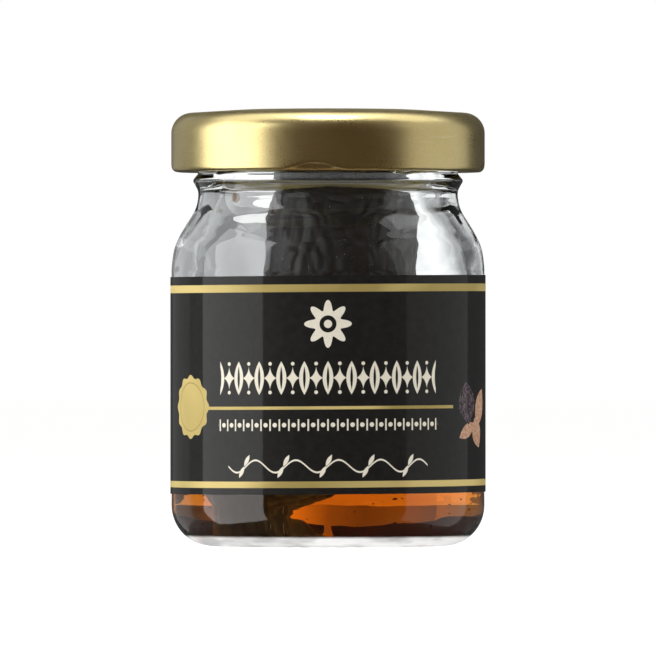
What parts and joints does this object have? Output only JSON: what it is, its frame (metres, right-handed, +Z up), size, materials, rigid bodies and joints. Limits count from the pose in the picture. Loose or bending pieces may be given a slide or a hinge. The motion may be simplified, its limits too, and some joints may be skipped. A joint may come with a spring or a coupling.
{
  "type": "jar of preserved truffle",
  "caption": "Small round glass jar with a gold twist-off lid and a black wrap label, holding a whole black truffle in amber juice.",
  "frame": {"origin": "on the table, at the middle of the jar's footprint", "axes": "+Z up along the jar's axis; the label's front faces -Y"},
  "size_m": [0.0468, 0.0468, 0.0647],
  "materials": {
    "clear_glass": "polished",
    "gold_lacquer": "satin",
    "seal_compound": "satin",
    "black_paper": "satin",
    "black_rind": "gloss",
    "amber_juice": "gloss"
  },
  "bodies": {
    "jar": {"jar": "clear_glass", "label": "black_paper", "truffle": "black_rind", "juice": "amber_juice", "crumb_1": "black_rind", "crumb_2": "black_rind", "crumb_3": "black_rind", "crumb_4": "black_rind", "crumb_5": "black_rind", "crumb_6": "black_rind"},
    "seal": {"seal_ring": "seal_compound"},
    "lid": {"lid": "gold_lacquer"}
  },
  "joints": [
    {"name": "lid_rise", "type": "slide", "parent": "jar", "child": "seal", "axis": [0, 0, 1], "range_m": [0, 0.0025]},
    {"name": "lid_turn", "type": "hinge", "parent": "seal", "child": "lid", "pos_m": [0, 0, 0.06], "axis": [0, 0, 1], "range_deg": [0, 60]}
  ],
  "couplings": [
    {"joint": "lid_rise", "follows": "lid_turn", "m_per_rad": 0.0022918}
  ]
}
